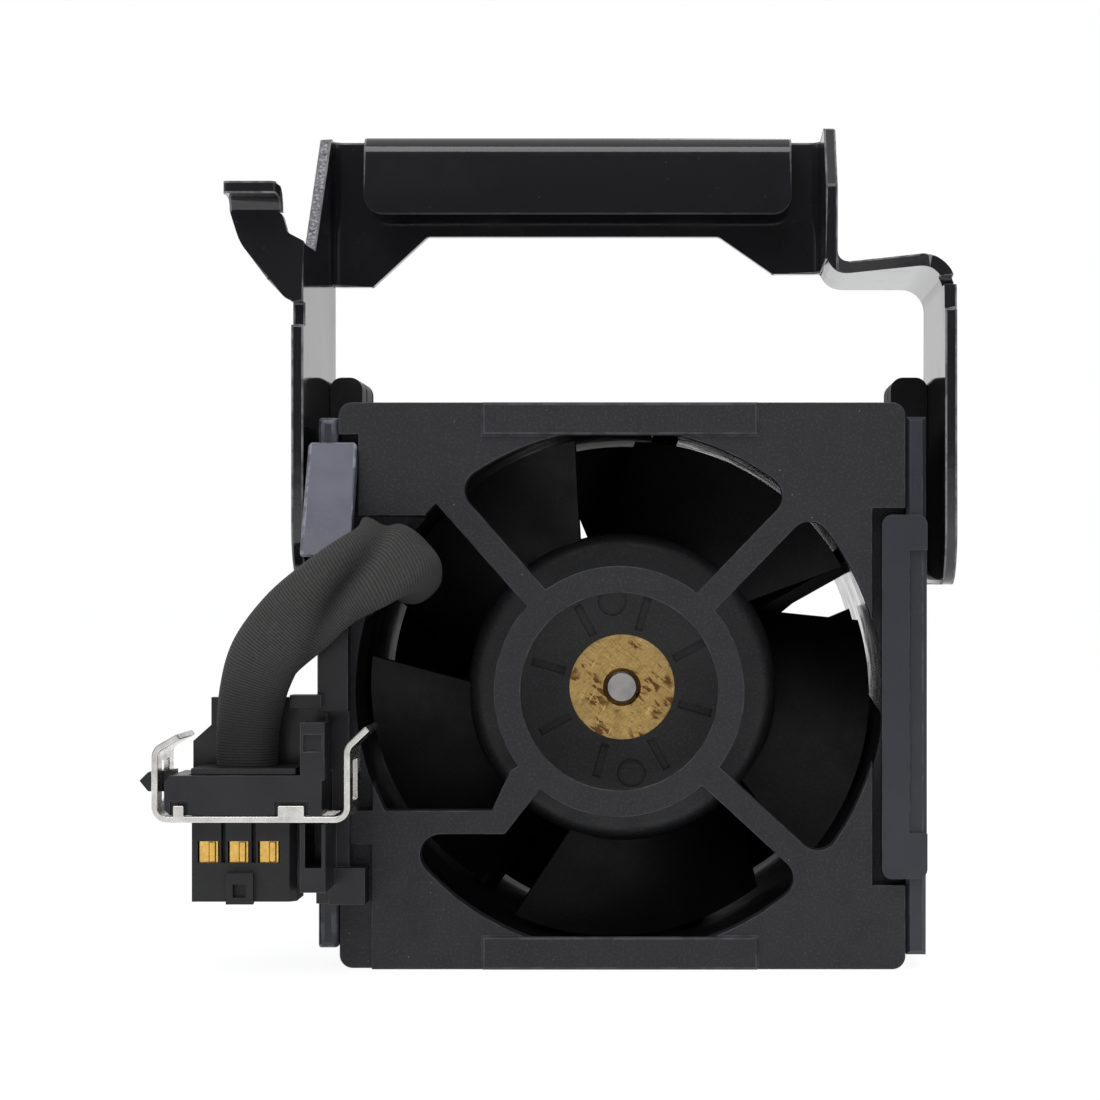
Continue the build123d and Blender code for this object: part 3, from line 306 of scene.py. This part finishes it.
def lacquered():
    """Black gloss coat on folded sheet steel, with faint orange peel and rubbed spots."""
    paint = Paint("handle_steel", (0.0175, 0.0170, 0.0195), 0.07, IOR=1.6)
    paint.tint(paint.span(paint.noise(14.0), 0.45, 0.7), (0.024, 0.0234, 0.0258))
    paint.finish(paint.span(paint.noise(6.0, 5.0), 0.5, 0.7), 0.16)
    dust = paint.span(paint.cells(1.4), 0.06, 0.03)
    paint.tint(paint.times(dust, 0.35), (0.20, 0.20, 0.20))
    paint.relief(paint.noise(1.1, 2.0), 0.006)
    paint.relief(paint.noise(0.12, 1.0), 0.002)
    return paint


def sheared_edge_highlight():
    """The speckled cut edge of the sheet: bare steel, painted bright as a painted highlight
    where it faces up into the light.
    """
    paint = Paint("sheared_edge_highlight", (0.20, 0.20, 0.215), 0.38, 0.8)
    paint.tint(paint.span(paint.noise(0.35, 3.0), 0.46, 0.62), (0.50, 0.49, 0.52))
    paint.tint(paint.span(paint.noise(0.9, 4.0), 0.55, 0.68), (0.09, 0.09, 0.10))
    paint.relief(paint.noise(0.3, 3.0), 0.05)
    return paint


def worn_edge_and_highlight(name, colour, roughness):
    """An edge painted paler, here more and there less: partly wear where hands and neighbours
    have rubbed it, partly a painted highlight along the edge.
    """
    paint = Paint(name, colour, roughness)
    paint.tint(paint.span(paint.noise(2.2, 4.0), 0.42, 0.60), scaled(colour, 0.4))
    paint.finish(paint.span(paint.noise(0.6, 3.0), 0.4, 0.7), roughness + 0.15)
    paint.relief(paint.noise(0.3, 2.0), 0.004)
    return paint


def metal(name, colour, roughness, grain_size=0.15, stretch=(1, 1, 1), dull=1.25, depth=0.004):
    """Plain metal with a fine drawn or turned grain and duller patches."""
    paint = Paint(name, colour, roughness, 1.0)
    paint.tint(paint.span(paint.noise(2.5, 4.0), 0.4, 0.7), scaled(colour, 0.78))
    grain = paint.noise(grain_size, 3.0, stretch=stretch)
    paint.finish(paint.span(grain, 0.3, 0.7), roughness * dull + 0.05)
    paint.relief(grain, depth)
    return paint


def worn_brass():
    """Brass bush face: brushed grain, brown handling marks in a few places and bright nicks."""
    paint = Paint("bush_brass", (0.61, 0.41, 0.152), 0.30, 1.0)
    grain = paint.noise(0.16, 3.0, stretch=(1, 1, 0.3), turn=(0, 0.8, 0))
    paint.tint(paint.span(grain, 0.4, 0.7), (0.47, 0.306, 0.107))
    worn = paint.span(paint.noise(3.4, 2.0, at=(0.0013, 0, 0.0006)), 0.50, 0.60)
    flake = paint.noise(0.5, 6.0, stretch=(0.35, 1, 1), turn=(0, 0.7, 0))
    flake = paint.span(flake, 0.50, 0.58)
    paint.tint(paint.times(worn, flake), (0.19, 0.085, 0.03))
    nicks = paint.noise(0.45, 6.0, stretch=(1, 1, 0.14), turn=(0, 0.5, 0))
    paint.tint(paint.span(nicks, 0.62, 0.72), (0.80, 0.62, 0.26))
    paint.finish(paint.span(paint.noise(1.2, 4.0), 0.4, 0.7), 0.44)
    paint.relief(flake, 0.008)
    return paint


def ribbed_tape():
    """Ribbed cloth: cords across, threads along, fluff, painted shade in its fold, and dark at
    its foot.
    """
    paint = Paint("sleeve_fabric", (0.034, 0.034, 0.031), 0.88, Sheen_Weight=0.04,
                  Sheen_Roughness=0.5)
    ribs = paint.waves(0.29, "Y", uv=True)
    threads = paint.waves(0.5, "X", uv=True)
    paint.tint(paint.span(ribs, 0.2, 0.95), (0.072, 0.072, 0.067))
    fluff = paint.span(paint.noise(0.5, 4.0), 0.5, 0.72)
    paint.tint(paint.times(fluff, 0.5), (0.075, 0.076, 0.070))
    spot = paint.node("ShaderNodeSeparateXYZ", Vector=paint.where.outputs["Object"])
    paint.tint(paint.span(spot.outputs["Z"], 0.024, 0.036, 0.85, 0.0), (0.0085, 0.0085, 0.0075))
    # The crease is painted darker: painted shade where the cloth falls in
    painted_fold_shade = paint.node("ShaderNodeAttribute", {"attribute_name": "painted_fold_shade"}).outputs["Fac"]
    paint.tint(painted_fold_shade, (0.007, 0.007, 0.0065))
    paint.relief(ribs, 0.05)
    paint.relief(threads, 0.02)
    paint.relief(paint.noise(0.1, 2.0), 0.02)
    return paint


def soft_black(name, colour, roughness):
    """Rubber or insulation: matt, with dust in its pores."""
    paint = Paint(name, colour, roughness)
    paint.tint(paint.span(paint.noise(0.8, 5.0), 0.5, 0.75), scaled(colour, 2.0))
    paint.relief(paint.noise(0.2, 3.0), 0.012)
    return paint


def coil_wire():
    """Turns of enamelled copper wire."""
    paint = Paint("coil_enamel", (0.42, 0.13, 0.03), 0.3, 0.8, Coat_Weight=0.6)
    turns = paint.waves(0.3, "DIAGONAL")
    paint.tint(paint.span(turns, 0.1, 0.5, 1.0, 0.0), (0.10, 0.03, 0.01))
    paint.relief(turns, 0.08)
    return paint


def board_lacquer():
    """Green solder mask, paler over its tracks."""
    paint = Paint("board_laminate", (0.015, 0.11, 0.045), 0.32, Coat_Weight=0.5)
    paint.tint(paint.span(paint.noise(1.2, 1.0), 0.52, 0.56), (0.02, 0.17, 0.07))
    paint.relief(paint.noise(0.4, 2.0), 0.01)
    return paint


def stacked_steel():
    """Pressed sheets, with dark seams between them."""
    paint = Paint("core_steel", (0.34, 0.34, 0.36), 0.42, 1.0)
    sheets = paint.waves(0.35, "Y")
    paint.tint(paint.span(sheets, 0.0, 0.35, 1.0, 0.0), (0.08, 0.08, 0.09))
    paint.relief(sheets, 0.03)
    return paint


PAINTS = {
    "frame_plastic": moulded("frame_plastic", (0.0160, 0.0158, 0.0190), 0.50, 0.03, 0.7),
    # The impellers' black plastic is darkened to near nothing, partly painted shade for their
    # depth in the bores
    "impeller_plastic": moulded("impeller_plastic", (0.0040, 0.0039, 0.0050), 0.42, 0.005,
                                Specular_IOR_Level=0.22),
    "rail_plastic": moulded("rail_plastic", (0.030, 0.031, 0.040), 0.30, 0.005, 0.3, 1.2),
    # The hood is the rails' plastic painted paler, a painted highlight for its slope facing up
    # into the light
    "hood_painted_highlight": moulded("hood_painted_highlight", (0.112, 0.115, 0.155), 0.42, 0.006, 0.1, 1.12),
    "carrier_plastic": moulded("carrier_plastic", (0.0125, 0.0125, 0.0150), 0.28, 0.004,
                               0.3, 1.3),
    "connector_plastic": moulded("connector_plastic", (0.012, 0.012, 0.013), 0.42, 0.006,
                                 pale=1.4),
    "clip_nylon": moulded("clip_nylon", (0.50, 0.50, 0.48), 0.45, 0.01),
    "handle_steel": lacquered(),
    "bush_brass": worn_brass(),
    "sleeve_fabric": ribbed_tape(),
    "mount_rubber": soft_black("mount_rubber", (0.010, 0.010, 0.0105), 0.62),
    "wire_insulation": soft_black("wire_insulation", (0.02, 0.02, 0.02), 0.45),
    "magnet_ferrite": soft_black("magnet_ferrite", (0.03, 0.03, 0.03), 0.7),
    "screw_black": metal("screw_black", (0.045, 0.045, 0.047), 0.34),
    "screw_steel": metal("screw_steel", (0.52, 0.52, 0.53), 0.30),
    "spring_steel": metal("spring_steel", (0.82, 0.80, 0.77), 0.22, 0.5, (1, 0.2, 1),
                          1.1, 0.001),
    "shaft_steel": metal("shaft_steel", (0.50, 0.48, 0.47), 0.30, 0.08, depth=0.003),
    "yoke_steel": metal("yoke_steel", (0.42, 0.42, 0.43), 0.35),
    "core_steel": stacked_steel(),
    "contact_gold": metal("contact_gold", (0.95, 0.60, 0.15), 0.24, 0.4, depth=0.001),
    "coil_enamel": coil_wire(),
    "board_laminate": board_lacquer(),
}
EDGE_HIGHLIGHT = sheared_edge_highlight()
# Both bore paints are the frame's plastic darkened to near black, painted shade inside the bores
SHINY_BORE_SHADE = moulded("shiny_bore_shade", (0.004, 0.004, 0.0045), 0.12, 0.002)
SHADE = moulded("barrel_shade", (0.004, 0.0039, 0.005), 0.60, 0.006, Specular_IOR_Level=0.08)
HUB = moulded("hub_face", (0.015, 0.015, 0.0165), 0.46, 0.012)


# CAD nodes

# Nodes that look other than their record's material slot; the hood's is a painted highlight
OWN_PAINTS = {"cable_hood": "hood_painted_highlight", "connector_carrier": "carrier_plastic"}
# What the rounded edges of these nodes wear: paler paint, partly rubbed wear and partly a
# painted edge highlight
RIM_WEAR_AND_HIGHLIGHTS = {
    "handle_bracket": worn_edge_and_highlight("lacquer_rim_wear_and_highlight", (0.24, 0.24, 0.25), 0.30),
    "cable_hood": worn_edge_and_highlight("hood_rim_wear_and_highlight", (0.30, 0.305, 0.36), 0.40),
    "left_rail": worn_edge_and_highlight("rail_rim_wear_and_highlight", (0.12, 0.123, 0.15), 0.34),
    "connector_carrier": worn_edge_and_highlight("carrier_rim_wear_and_highlight", (0.09, 0.09, 0.10), 0.34),
    "front_guard": worn_edge_and_highlight("face_rim_wear_and_highlight", (0.060, 0.060, 0.068), 0.44),
}
RIM_WEAR_AND_HIGHLIGHTS["right_rail"] = RIM_WEAR_AND_HIGHLIGHTS["left_rail"]
# How wide each node's sharp edges are rounded, in millimetres
BEVELS = {
    "front_guard": 0.28, "front_housing": 0.25, "rear_housing": 0.25, "handle_bracket": 0.22,
    "left_rail": 0.3, "right_rail": 0.3, "cable_hood": 0.40, "connector_carrier": 0.16,
    "connector_housing": 0.14, "spring_clip": 0.12, "connector_contacts": 0.06,
    "left_rubber_mount": 0.3, "right_rubber_mount": 0.3, "mount_screws": 0.1,
    "joining_screws": 0.12, "front_stator_core": 0.1, "rear_stator_core": 0.1,
    "front_circuit_board": 0.08, "rear_circuit_board": 0.08,
    "front_motor_base": 0.15, "rear_motor_base": 0.15,
}
# Nodes with edges so short that Blender's own clamp would leave no bevel at all
UNCLAMPED = ("handle_bracket", "cable_hood")
# In millimetres, how near points are joined, and in degrees, how sharp an edge has to be to stay
# and to be rounded
WELD = 0.001
FLAT_EDGE = 0.6
SHARP_EDGE = 32


def soften(piece, name):
    """Rounds the sharp edges of a faceted solid, with flat faces kept flat."""
    mesh = piece.data
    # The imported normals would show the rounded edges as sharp
    if "custom_normal" in mesh.attributes:
        mesh.attributes.remove(mesh.attributes["custom_normal"])
    mesh.polygons.foreach_set("use_smooth", [True] * len(mesh.polygons))
    weld = piece.modifiers.new("weld", "WELD")
    weld.merge_threshold = WELD * MM
    merge = piece.modifiers.new("merge", "DECIMATE")
    merge.decimate_type = "DISSOLVE"
    merge.angle_limit = math.radians(FLAT_EDGE)
    merge.delimit = {"MATERIAL"}
    bevel = piece.modifiers.new("bevel", "BEVEL")
    bevel.width = BEVELS[name] * MM
    bevel.segments = 2
    bevel.limit_method = "ANGLE"
    bevel.angle_limit = math.radians(SHARP_EDGE)
    bevel.harden_normals = True
    if name in UNCLAMPED:
        bevel.offset_type = "ABSOLUTE"
        bevel.use_clamp_overlap = False
    # The bevel faces get the paler rim paint, wear and painted edge highlight in one
    if name in RIM_WEAR_AND_HIGHLIGHTS:
        mesh.materials.append(RIM_WEAR_AND_HIGHLIGHTS[name].material)
        bevel.material = len(mesh.materials) - 1


def dress_nodes():
    slots = {row["node"]: row["material_slot"] for row in frame["record"]["subparts"]}
    for name, node in nodes.items():
        node.data.materials.clear()
        paint = OWN_PAINTS.get(name, slots[name])
        node.data.materials.append(PAINTS[paint].material)
        if name in BEVELS:
            soften(node, name)


# Each straight side of a guard opening that meets its rim: the way along it from the fan axis in
# degrees, how far it lies from the axis, and on which hand of that way the opening is
GUARD_SIDES = ((46.0, 1.35, 1), (46.0, 1.35, -1), (131.5, 1.35, -1), (-42.7, 1.35, 1),
               (-42.7, 1.35, -1), (180.0, 15.1, 1))
# In millimetres: the openings' rim and the round at its corners, the plate's thickness, and how
# far each web runs into its side and past the rim
GUARD_RIM = 27.8
GUARD_ROUND = 2.2
GUARD_THICK = 2.6
WEB_SUNK, WEB_PAST = 0.5, 0.8
ROUND_STEPS = 12


def turned(way, angle):
    c, s = math.cos(angle), math.sin(angle)
    return Vector((way.x * c - way.y * s, way.x * s + way.y * c))


def corner_web(degrees, offset, hand):
    """Outline of what rounds one corner, run a little into the side and past the rim."""
    way = turned(Vector((1, 0)), math.radians(degrees))
    out = Vector((-way.y, way.x)) * hand
    aside = offset + GUARD_ROUND
    reach = math.sqrt((GUARD_RIM - GUARD_ROUND) ** 2 - aside ** 2)
    middle = way * reach + out * aside
    to_rim = middle.normalized()
    turn = (-out).angle_signed(to_rim)
    arc = [middle + GUARD_ROUND * turned(-out, -turn * k / ROUND_STEPS)
           for k in range(ROUND_STEPS + 1)]
    sunk = offset - WEB_SUNK
    past = GUARD_RIM + WEB_PAST
    far = math.sqrt(past ** 2 - sunk ** 2)
    outline = [way * reach + out * sunk, *arc, to_rim * past, way * far + out * sunk]
    return [Vector(AXIS) + point for point in outline]


def guard_webs():
    """What rounds all the corners, as thick as the plate."""
    shape = bmesh.new()
    for side in GUARD_SIDES:
        outline = corner_web(*side)
        front = [shape.verts.new((p.x * MM, 0, p.y * MM)) for p in outline]
        back = [shape.verts.new((p.x * MM, GUARD_THICK * MM, p.y * MM)) for p in outline]
        shape.faces.new(front)
        shape.faces.new(list(reversed(back)))
        for a, b, c, d in zip(front, front[1:] + front[:1], back[1:] + back[:1], back):
            shape.faces.new((a, d, c, b))
    bmesh.ops.recalc_face_normals(shape, faces=shape.faces)
    mesh = bpy.data.meshes.new("corner_webs")
    shape.to_mesh(mesh)
    shape.free()
    return mesh


def welded_copy(mesh):
    """A copy whose faces share the points where they meet."""
    copy = mesh.copy()
    shape = bmesh.new()
    shape.from_mesh(copy)
    bmesh.ops.remove_doubles(shape, verts=shape.verts, dist=WELD * MM)
    shape.to_mesh(copy)
    shape.free()
    return copy


def round_guard():
    """The face plate with the outer corners of its openings rounded, as moulded."""
    plate = bpy.data.objects.new("face_plate", welded_copy(nodes["front_guard"].data))
    webs = bpy.data.objects.new("corner_webs", guard_webs())
    link(plate)
    link(webs)
    join = plate.modifiers.new("join", "BOOLEAN")
    join.operation = "UNION"
    join.solver = "EXACT"
    join.object = webs
    graph = bpy.context.evaluated_depsgraph_get()
    joined = bpy.data.meshes.new_from_object(plate.evaluated_get(graph))
    plate.modifiers.clear()
    plate.data = joined
    bpy.data.objects.remove(webs)
    joined.materials.clear()
    joined.materials.append(PAINTS["frame_plastic"].material)
    soften(plate, "front_guard")
    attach(plate, "fan_frame")
    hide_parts("front_guard")


# In millimetres, what the handle's left arm lies left of and its bare slope with its painted
# highlight lies above, and how far the slope's normal leans forwards and upwards
LEFT_ARM = -33
SLOPE_FOOT = 77
SLOPE_LEAN = 0.55


def bare_edges_highlight():
    """The sheared slope of the handle's left arm is bare steel with a painted highlight, on the
    faces that lean up towards the light.
    """
    mesh = nodes["handle_bracket"].data
    mesh.materials.append(EDGE_HIGHLIGHT.material)
    highlight_index = len(mesh.materials) - 1
    for face in mesh.polygons:
        # Faces that lean forwards and up towards the light get the painted highlight
        slope = face.normal.y < -SLOPE_LEAN and face.normal.z > SLOPE_LEAN
        if slope and face.center.x < LEFT_ARM * MM and face.center.z > SLOPE_FOOT * MM:
            face.material_index = highlight_index


# In millimetres, between which radii the faces of a bore lie, how squarely they face the axis,
# and in degrees, from where to where round it the wall is rubbed shiny
BORE_RADII = (26, 28.6)
INWARDS = -0.9
RUBBED = (-4, 84)


def polish_barrels():
    """The bores of both fans, painted near black as painted shade: rubbed shiny at the upper
    right, and dull elsewhere.
    """
    for name in ("front_housing", "rear_housing"):
        mesh = nodes[name].data
        mesh.materials.append(SHINY_BORE_SHADE.material)
        mesh.materials.append(SHADE.material)
        for face in mesh.polygons:
            out = Vector((face.center.x - AXIS[0] * MM, 0, face.center.z - AXIS[1] * MM))
            wall = BORE_RADII[0] * MM < out.length < BORE_RADII[1] * MM
            if wall and face.normal.dot(out.normalized()) < INWARDS:
                angle = math.degrees(math.atan2(out.z, out.x))
                face.material_index = 1 if RUBBED[0] < angle < RUBBED[1] else 2


# How far from where the fans meet the hubs' outer faces begin, in millimetres
HUB_FACE = 13.2


def dull_hub_faces():
    """The hubs' outer faces are grained, and the blades and hub sides are smooth."""
    for name, sign in (("front_impeller", -1), ("rear_impeller", 1)):
        mesh = nodes[name].data
        mesh.materials.append(HUB.material)
        for face in mesh.polygons:
            off = math.hypot(face.center.x - AXIS[0] * MM, face.center.z - AXIS[1] * MM)
            deep = (face.center.y - PARTING * MM) * sign
            if off < HUB_REACH * MM and deep > HUB_FACE * MM:
                face.material_index = 1


# Sleeve

# Middle, half width across, half thickness and turn of the sleeve along its way, in millimetres
# and degrees
SLEEVE = (
    (-38.70, -6.0, 21.9, 3.10, 2.7, 0),
    (-38.60, -6.1, 25.5, 3.20, 2.8, 0),
    (-38.00, -6.3, 29.6, 3.45, 2.8, 0),
    (-36.50, -6.8, 33.4, 3.80, 2.7, 0),
    (-33.40, -7.5, 37.0, 4.10, 2.5, 0),
    (-30.10, -8.0, 39.9, 4.00, 2.5, 0),
    (-26.60, -7.6, 42.1, 4.20, 2.6, 10),
    (-23.70, -5.2, 43.6, 4.30, 2.9, 24),
    (-22.90, -1.4, 43.2, 4.00, 3.2, 28),
    (-22.80, 3.4, 42.0, 3.50, 3.1, 28),
)


def between_rows(rows, t):
    """A smooth curve through rows of numbers, t from 0 at the first to 1 at the last."""
    place = t * (len(rows) - 1)
    k = min(int(place), len(rows) - 2)
    u = place - k
    a, b = rows[max(k - 1, 0)], rows[k]
    c, d = rows[k + 1], rows[min(k + 2, len(rows) - 1)]
    return [0.5 * (2 * q + (r - p) * u + (2 * p - 5 * q + 4 * r - s) * u * u
                   + (3 * q - p - 3 * r + s) * u ** 3) for p, q, r, s in zip(a, b, c, d)]


def bell(x, width):
    """1 in the middle, and next to nothing past twice the width."""
    return math.exp(-(x / width) ** 2)


def wrap(angle):
    """The same angle, within half a turn either way."""
    return (angle + math.pi) % math.tau - math.pi


# The fold along the sleeve, 0 at the plug and 1 at the face: where its winding is counted from,
# where it is deepest, and how fast it fades away from there
FOLD_START, FOLD_MIDDLE, FOLD_LENGTH = 0.37, 0.60, 0.20
# In degrees, its angle at that start, and how much more it would be a whole sleeve later
FOLD_ANGLE, FOLD_TURN = 12, 300
# Its depth in millimetres, and its widths before and past its middle in radians
FOLD_DEPTH = 1.9
FOLD_WIDTHS = (0.34, 0.5)
# How dark the painted shade of the fold is where the fold is deepest, and how fast that fades
# out of it
FOLD_SHADE, FOLD_FADE = 0.75, 1.5
# Smaller dents, or bulges where below nothing: depth, where along the sleeve and how long, and
# where round it in degrees and how wide in radians
DENTS = (
    (0.5, 0.84, 0.05, 75, 0.3),
    (-1.1, 0.775, 0.035, 172, 0.3),
    (-0.5, 0.70, 0.07, 25, 0.4),
)
# How uneven the cloth is besides, in millimetres, most of all halfway along
RIPPLE = 0.08
SLEEVE_STEPS, SLEEVE_SIDES = 120, 56
# How square the sleeve's section is, 2 for an ellipse, and how far round it the weave is laid
SLEEVE_SQUARE = 2.4
SLEEVE_GIRTH = 22.0


def sleeve_fold(t, angle):
    """The deep crease where the slack cloth falls in, from the plug's side up over the front."""
    off = wrap(angle - math.radians(FOLD_ANGLE + FOLD_TURN * (t - FOLD_START)))
    return bell(t - FOLD_MIDDLE, FOLD_LENGTH) * bell(off, FOLD_WIDTHS[0 if off < 0 else 1])


def sleeve_dent(t, angle):
    """How far the cloth falls in; below nothing where it stands out."""
    dent = FOLD_DEPTH * sleeve_fold(t, angle)
    for depth, along, length, around, width in DENTS:
        dent += depth * bell(t - along, length) * bell(wrap(angle - math.radians(around)), width)
    return dent + RIPPLE * math.sin(3 * angle + 9 * t) * bell(t - 0.5, 0.4)


def sleeve_rings():
    """The cloth's points ring by ring, how dark the fold's painted shade makes each, and how far
    along each ring is.
    """
    rows = [between_rows(SLEEVE, k / SLEEVE_STEPS) for k in range(SLEEVE_STEPS + 1)]
    middles = [Vector(row[:3]) for row in rows]
    across = Vector((1, 0, 0))
    points, painted_fold_shades, lengths, length = [], [], [], 0.0
    for k, (*_, half_width, half_thick, degrees) in enumerate(rows):
        ahead = (middles[min(k + 1, SLEEVE_STEPS)] - middles[max(k - 1, 0)]).normalized()
        across = (across - ahead * across.dot(ahead)).normalized()
        turn = math.radians(degrees)
        side = across * math.cos(turn) + across.cross(ahead) * math.sin(turn)
        front = side.cross(ahead)
        if k:
            length += (middles[k] - middles[k - 1]).length
        lengths.append(length)
        t = k / SLEEVE_STEPS
        for j in range(SLEEVE_SIDES):
            angle = math.tau * j / SLEEVE_SIDES
            c, s = math.cos(angle), math.sin(angle)
            reach = (abs(c) ** SLEEVE_SQUARE + abs(s) ** SLEEVE_SQUARE) ** (-1 / SLEEVE_SQUARE)
            pull = sleeve_dent(t, angle)
            painted_fold_shades.append(FOLD_SHADE * sleeve_fold(t, angle) ** FOLD_FADE)
            points.append(middles[k] + side * c * (half_width * reach - pull)
                          + front * s * (half_thick * reach - pull))
    return points, painted_fold_shades, lengths


def chart_cloth(mesh, lengths):
    """Lays the weave on the sleeve, in metres round it and along it."""
    chart = mesh.uv_layers.new(name="cloth")
    for k in range(SLEEVE_STEPS):
        for j in range(SLEEVE_SIDES):
            face = mesh.polygons[k * SLEEVE_SIDES + j]
            spots = ((k, j), (k, j + 1), (k + 1, j + 1), (k + 1, j))
            for corner, (ring, spoke) in zip(face.loop_indices, spots):
                around = spoke / SLEEVE_SIDES * SLEEVE_GIRTH * MM
                chart.data[corner].uv = (around, lengths[ring] * MM)


def make_sleeve():
    """Flattened cloth sleeve from the plug to the pocket in the face."""
    points, painted_fold_shades, lengths = sleeve_rings()
    steps, sides = SLEEVE_STEPS, SLEEVE_SIDES
    faces = [(k * sides + j, k * sides + (j + 1) % sides, (k + 1) * sides + (j + 1) % sides,
              (k + 1) * sides + j) for k in range(steps) for j in range(sides)]
    faces.append(tuple(reversed(range(sides))))
    faces.append(tuple(range(steps * sides, (steps + 1) * sides)))
    mesh = bpy.data.meshes.new("sleeve")
    mesh.from_pydata([p * MM for p in points], [], faces)
    # Each point's painted shade from the fold, read by the cloth's colour
    mesh.attributes.new("painted_fold_shade", "FLOAT", "POINT").data.foreach_set("value", painted_fold_shades)
    chart_cloth(mesh, lengths)
    mesh.polygons.foreach_set("use_smooth", [True] * len(mesh.polygons))
    mesh.materials.append(PAINTS["sleeve_fabric"].material)
    sleeve = bpy.data.objects.new("sleeve", mesh)
    link(sleeve)
    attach(sleeve, "fan_frame")
    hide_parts("cable_sleeve")


bpy.context.scene.view_settings.view_transform = "Standard"
make_camera()
make_world()
make_floor()
make_lamp("key", (-0.12, -0.46, 0.62), (0, 0.01, 0.045), (0.55, 0.40), 2.0)
make_lamp("rim", (0.25, 0.55, 0.50), (0, 0.02, 0.05), (0.5, 0.3), 1.6)
dress_nodes()
round_guard()
bare_edges_highlight()
polish_barrels()
dull_hub_faces()
make_sleeve()
